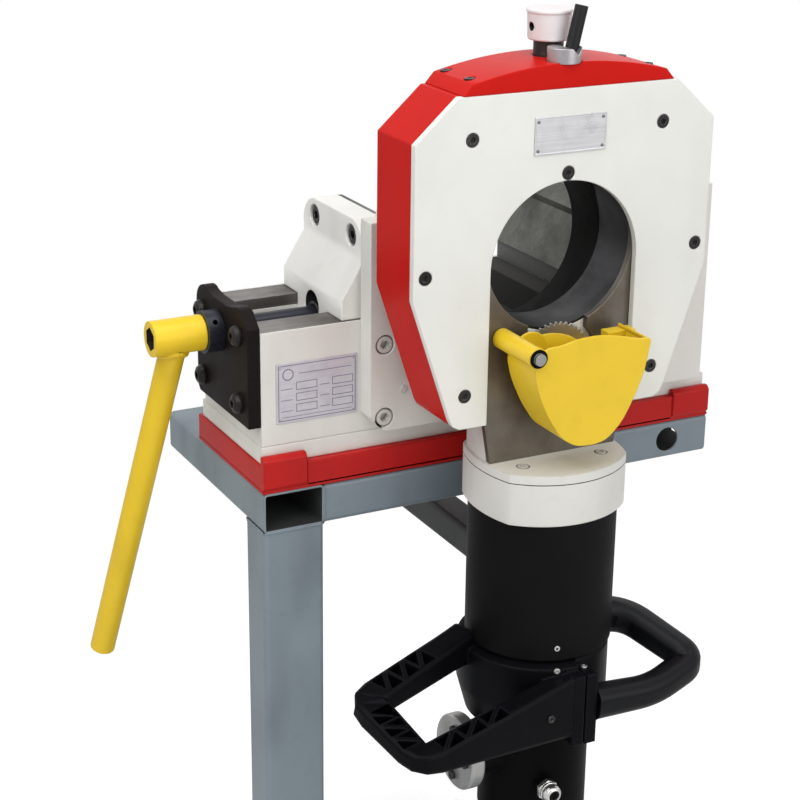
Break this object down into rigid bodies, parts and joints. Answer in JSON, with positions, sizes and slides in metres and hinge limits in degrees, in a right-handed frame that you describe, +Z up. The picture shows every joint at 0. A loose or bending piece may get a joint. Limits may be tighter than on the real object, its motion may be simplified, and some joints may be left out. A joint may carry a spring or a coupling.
{
  "type": "orbital pipe cutting machine",
  "caption": "Bench-mounted orbital pipe cutter with a turning head, fed saw slide, swinging guard, two-handed motor drive and a crank vise on a tube stand.",
  "frame": {"origin": "on the floor at the centre of the four anchor holes in the skids", "axes": "+X to the operator's right, +Y along the pipe away from the operator, +Z up"},
  "size_m": [0.6908, 0.552, 1.1352],
  "materials": {
    "grey_paint": "satin grey paint on steel tube",
    "red_paint": "gloss red paint on castings",
    "white_paint": "warm white paint on castings",
    "yellow_paint": "yellow paint",
    "black_oxide": "black oxide on steel",
    "black_plastic": "matt black moulding",
    "machined_steel": "turned and ground steel",
    "bright_steel": "bright plated steel",
    "aluminium": "turned aluminium",
    "bronze": "bearing bronze"
  },
  "bodies": {
    "stand": {"left_rail": "grey_paint", "front_rail": "grey_paint", "rear_rail": "grey_paint", "right_rail": "grey_paint", "posts": "grey_paint", "skids": "grey_paint", "floor_bar": "grey_paint", "brace": "grey_paint", "top_sheet": "grey_paint", "red_base": "red_paint", "base_slab": "white_paint", "vise_body": "white_paint", "way_bars": "machined_steel", "vise_plate": "white_paint", "vise_plate_screws": "bright_steel", "end_plate": "black_oxide", "end_plate_screws": "black_oxide", "fixed_jaw": "white_paint", "fixed_insert": "machined_steel"},
    "jaw": {"moving_jaw": "white_paint", "moving_insert": "machined_steel", "jaw_screws": "black_oxide", "jaw_nut": "bronze"},
    "crank_set": {"spindle": "black_oxide", "spindle_collar": "black_oxide", "crank": "yellow_paint"},
    "head": {"housing": "red_paint", "front_plate": "white_paint", "front_plate_screws": "black_oxide", "lid": "red_paint", "lid_screws": "black_oxide", "ring_hub": "machined_steel", "retaining_ring": "machined_steel", "dial_collar": "black_oxide"},
    "dial": {"dial_knob": "white_paint", "feed_screw": "machined_steel"},
    "clamp": {"clamp_hub": "aluminium", "clamp_lever": "black_oxide"},
    "slide": {"slide_body": "white_paint", "slide_face": "machined_steel", "bore_sleeve": "machined_steel", "guard_pin": "bright_steel", "guard_stop": "bright_steel", "arbor_bushes": "bronze", "gear_case": "white_paint", "motor_housing": "black_plastic", "motor_tail": "black_plastic", "side_cap": "aluminium", "left_handle": "black_plastic", "right_handle": "black_plastic"},
    "guard": {"blade_guard": "yellow_paint"},
    "cutter": {"saw_blade": "machined_steel", "arbor": "bright_steel", "blade_clamp": "bright_steel", "bevel_gear": "machined_steel"},
    "drive": {"drive_shaft": "machined_steel", "drive_gear": "machined_steel"},
    "rotor": {"motor_shaft": "bright_steel", "armature": "bronze"},
    "switch": {"rocker": "black_plastic"}
  },
  "joints": [
    {"name": "head_turn", "type": "hinge", "parent": "stand", "child": "head", "pos_m": [0.0935, 0.0025, 0.88], "axis": [0, 1, 0], "range_deg": [-185, 185]},
    {"name": "slide_feed", "type": "slide", "parent": "head", "child": "slide", "axis": [0, 0, 1], "range_m": [-0.018, 0.04]},
    {"name": "dial_turn", "type": "hinge", "parent": "head", "child": "dial", "pos_m": [0.0935, -0.0505, 1.1], "axis": [0, 0, 1], "range_deg": [-1622, 3602]},
    {"name": "clamp_turn", "type": "hinge", "parent": "head", "child": "clamp", "pos_m": [0.0911, -0.0845, 1.085], "axis": [0, 0, -1], "range_deg": [0, 90]},
    {"name": "guard_swing", "type": "hinge", "parent": "slide", "child": "guard", "pos_m": [0.0275, -0.1275, 0.809], "axis": [0, -1, 0], "range_deg": [0, 100]},
    {"name": "rotor_spin", "type": "hinge", "parent": "slide", "child": "rotor", "pos_m": [0.0935, -0.0725, 0.54], "axis": [0, 0, 1], "continuous": true},
    {"name": "drive_spin", "type": "hinge", "parent": "slide", "child": "drive", "pos_m": [0.0935, -0.0525, 0.68], "axis": [0, 0, 1], "continuous": true},
    {"name": "cutter_spin", "type": "hinge", "parent": "slide", "child": "cutter", "pos_m": [0.0935, -0.0675, 0.771], "axis": [0, 1, 0], "continuous": true},
    {"name": "jaw_slide", "type": "slide", "parent": "stand", "child": "jaw", "axis": [1, 0, 0], "range_m": [-0.06, 0.04]},
    {"name": "crank_turn", "type": "hinge", "parent": "stand", "child": "crank_set", "pos_m": [-0.2365, 0.1155, 0.788], "axis": [1, 0, 0], "range_deg": [-4322, 2882]},
    {"name": "rocker_tilt", "type": "hinge", "parent": "slide", "child": "switch", "pos_m": [0.0935, -0.0155, 0.346], "axis": [1, 0, 0], "range_deg": [0, 12]}
  ],
  "couplings": [
    {"joint": "dial_turn", "follows": "slide_feed", "rad_per_m": 1570.8},
    {"joint": "crank_turn", "follows": "jaw_slide", "rad_per_m": 1256.6},
    {"joint": "drive_spin", "follows": "rotor_spin", "ratio": -0.33333},
    {"joint": "cutter_spin", "follows": "rotor_spin", "ratio": -0.11111}
  ]
}
